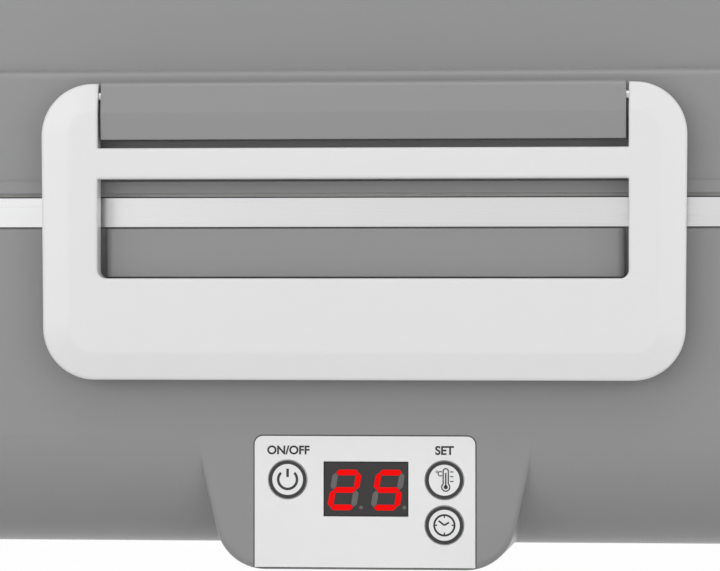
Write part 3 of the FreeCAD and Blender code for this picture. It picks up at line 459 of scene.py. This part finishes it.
display_x, display_z = middle_of("led_display")
display_z -= DIGIT_DROP
for digit, offset, lit in SHOWN:
    meshes = {True: bmesh.new(), False: bmesh.new()}
    for bar, (start, end) in BARS.items():
        add_bar(meshes[bar in lit], CORNERS[start], CORNERS[end], display_x + offset, display_z)
    add_disc(meshes[False], display_x + offset + POINT_ASIDE, display_z - HALF_H, POINT)
    for is_lit, mesh in meshes.items():
        name = f"{digit}_{'lit' if is_lit else 'unlit'}_bars"
        finish = lit_bar if is_lit else unlit_bar
        film_piece(name, mesh, face_of("led_display"), "base", finish)

# Floor and surroundings: a white sweep under soft studio lamps, seen from straight ahead.
WHITE = (0.9, 0.9, 0.9, 1)
floor_mesh = bmesh.new()
bmesh.ops.create_grid(floor_mesh, x_segments=1, y_segments=1, size=4.0)
floor_data = bpy.data.meshes.new("floor")
floor_mesh.to_mesh(floor_data)
floor_mesh.free()
floor = bpy.data.objects.new("floor", floor_data)
bpy.context.collection.objects.link(floor)
floor_material, floor_shader = new_material("floor_white", WHITE, 0.9)
tree = floor_material.node_tree
seen = add_node(floor_material, "ShaderNodeLightPath")
glow = add_node(floor_material, "ShaderNodeEmission", Color=(1, 1, 1, 1), Strength=1.0)
mix = add_node(floor_material, "ShaderNodeMixShader")
share = add_node(floor_material, "ShaderNodeMath", operation="MULTIPLY")
share.inputs[1].default_value = 0.985
straight = add_node(floor_material, "ShaderNodeMath", operation="MAXIMUM")
bounced = add_node(floor_material, "ShaderNodeMath", operation="MAXIMUM")
tree.links.new(seen.outputs["Is Glossy Ray"], bounced.inputs[0])
tree.links.new(seen.outputs["Is Transmission Ray"], bounced.inputs[1])
tree.links.new(seen.outputs["Is Camera Ray"], straight.inputs[0])
tree.links.new(bounced.outputs[0], straight.inputs[1])
tree.links.new(straight.outputs[0], share.inputs[0])
tree.links.new(share.outputs[0], mix.inputs["Fac"])
tree.links.new(floor_shader.outputs["BSDF"], mix.inputs[1])
tree.links.new(glow.outputs["Emission"], mix.inputs[2])
tree.links.new(mix.outputs["Shader"], tree.nodes["Material Output"].inputs["Surface"])
floor_data.materials.append(floor_material)

scene = bpy.context.scene
scene.view_settings.view_transform = "Standard"
world = bpy.data.worlds.new("studio")
scene.world = world
world.use_nodes = True
world_tree = world.node_tree
background = world_tree.nodes["Background"]
background.inputs["Color"].default_value = (1, 1, 1, 1)
rays = world_tree.nodes.new("ShaderNodeLightPath")
sky = world_tree.nodes.new("ShaderNodeMapRange")
sky.inputs["To Min"].default_value = 0.57
sky.inputs["To Max"].default_value = 1.0
plain = world_tree.nodes.new("ShaderNodeMath")
plain.operation = "MAXIMUM"
mirrored = world_tree.nodes.new("ShaderNodeMath")
mirrored.operation = "MAXIMUM"
world_tree.links.new(rays.outputs["Is Glossy Ray"], mirrored.inputs[0])
world_tree.links.new(rays.outputs["Is Transmission Ray"], mirrored.inputs[1])
world_tree.links.new(rays.outputs["Is Camera Ray"], plain.inputs[0])
world_tree.links.new(mirrored.outputs["Value"], plain.inputs[1])
world_tree.links.new(plain.outputs["Value"], sky.inputs["Value"])
world_tree.links.new(sky.outputs["Result"], background.inputs["Strength"])


def softbox(name, place, target, width, height, power):
    lamp = bpy.data.lights.new(name, "AREA")
    lamp.shape = "RECTANGLE"
    lamp.size, lamp.size_y, lamp.energy = width, height, power
    item = bpy.data.objects.new(name, lamp)
    bpy.context.collection.objects.link(item)
    item.location = place
    item.rotation_euler = (Vector(target) - Vector(place)).to_track_quat("-Z", "Y").to_euler()


softbox("key_lamp", (-1.0, -1.2, 0.45), (0, 0, 0.08), 1.4, 0.9, 5.4)
softbox("fill_lamp", (1.2, -1.1, 0.4), (0, 0, 0.08), 1.2, 0.9, 4.5)
softbox("top_lamp", (0.0, -0.5, 1.6), (0, 0, 0.1), 1.4, 1.0, 2.0)
softbox("floor_lamp", (0.0, -0.6, 0.9), (0, -0.6, 0), 1.6, 0.5, 2.5)
softbox("rear_lamp", (0.3, 1.5, 1.1), (0, 0, 0.1), 1.4, 1.0, 7)

# Camera: a long lens almost square to the front, close on the latch and the control pod.
PHOTO_WIDTH = 720
SENSOR = 36.0
FOCAL_PIXELS = 3836.0
camera_data = bpy.data.cameras.new("camera")
camera_data.sensor_width = SENSOR
camera_data.lens = FOCAL_PIXELS / PHOTO_WIDTH * SENSOR
camera = bpy.data.objects.new("camera", camera_data)
bpy.context.collection.objects.link(camera)
AZIMUTH = math.radians(5.4)
DISTANCE = 0.9175
aim = Vector((-0.0003, cad_box[0][1], 0.0702))
camera.location = aim + DISTANCE * Vector((math.sin(AZIMUTH), -math.cos(AZIMUTH), 0))
camera.rotation_euler = (math.pi / 2, 0, AZIMUTH)
scene.camera = camera
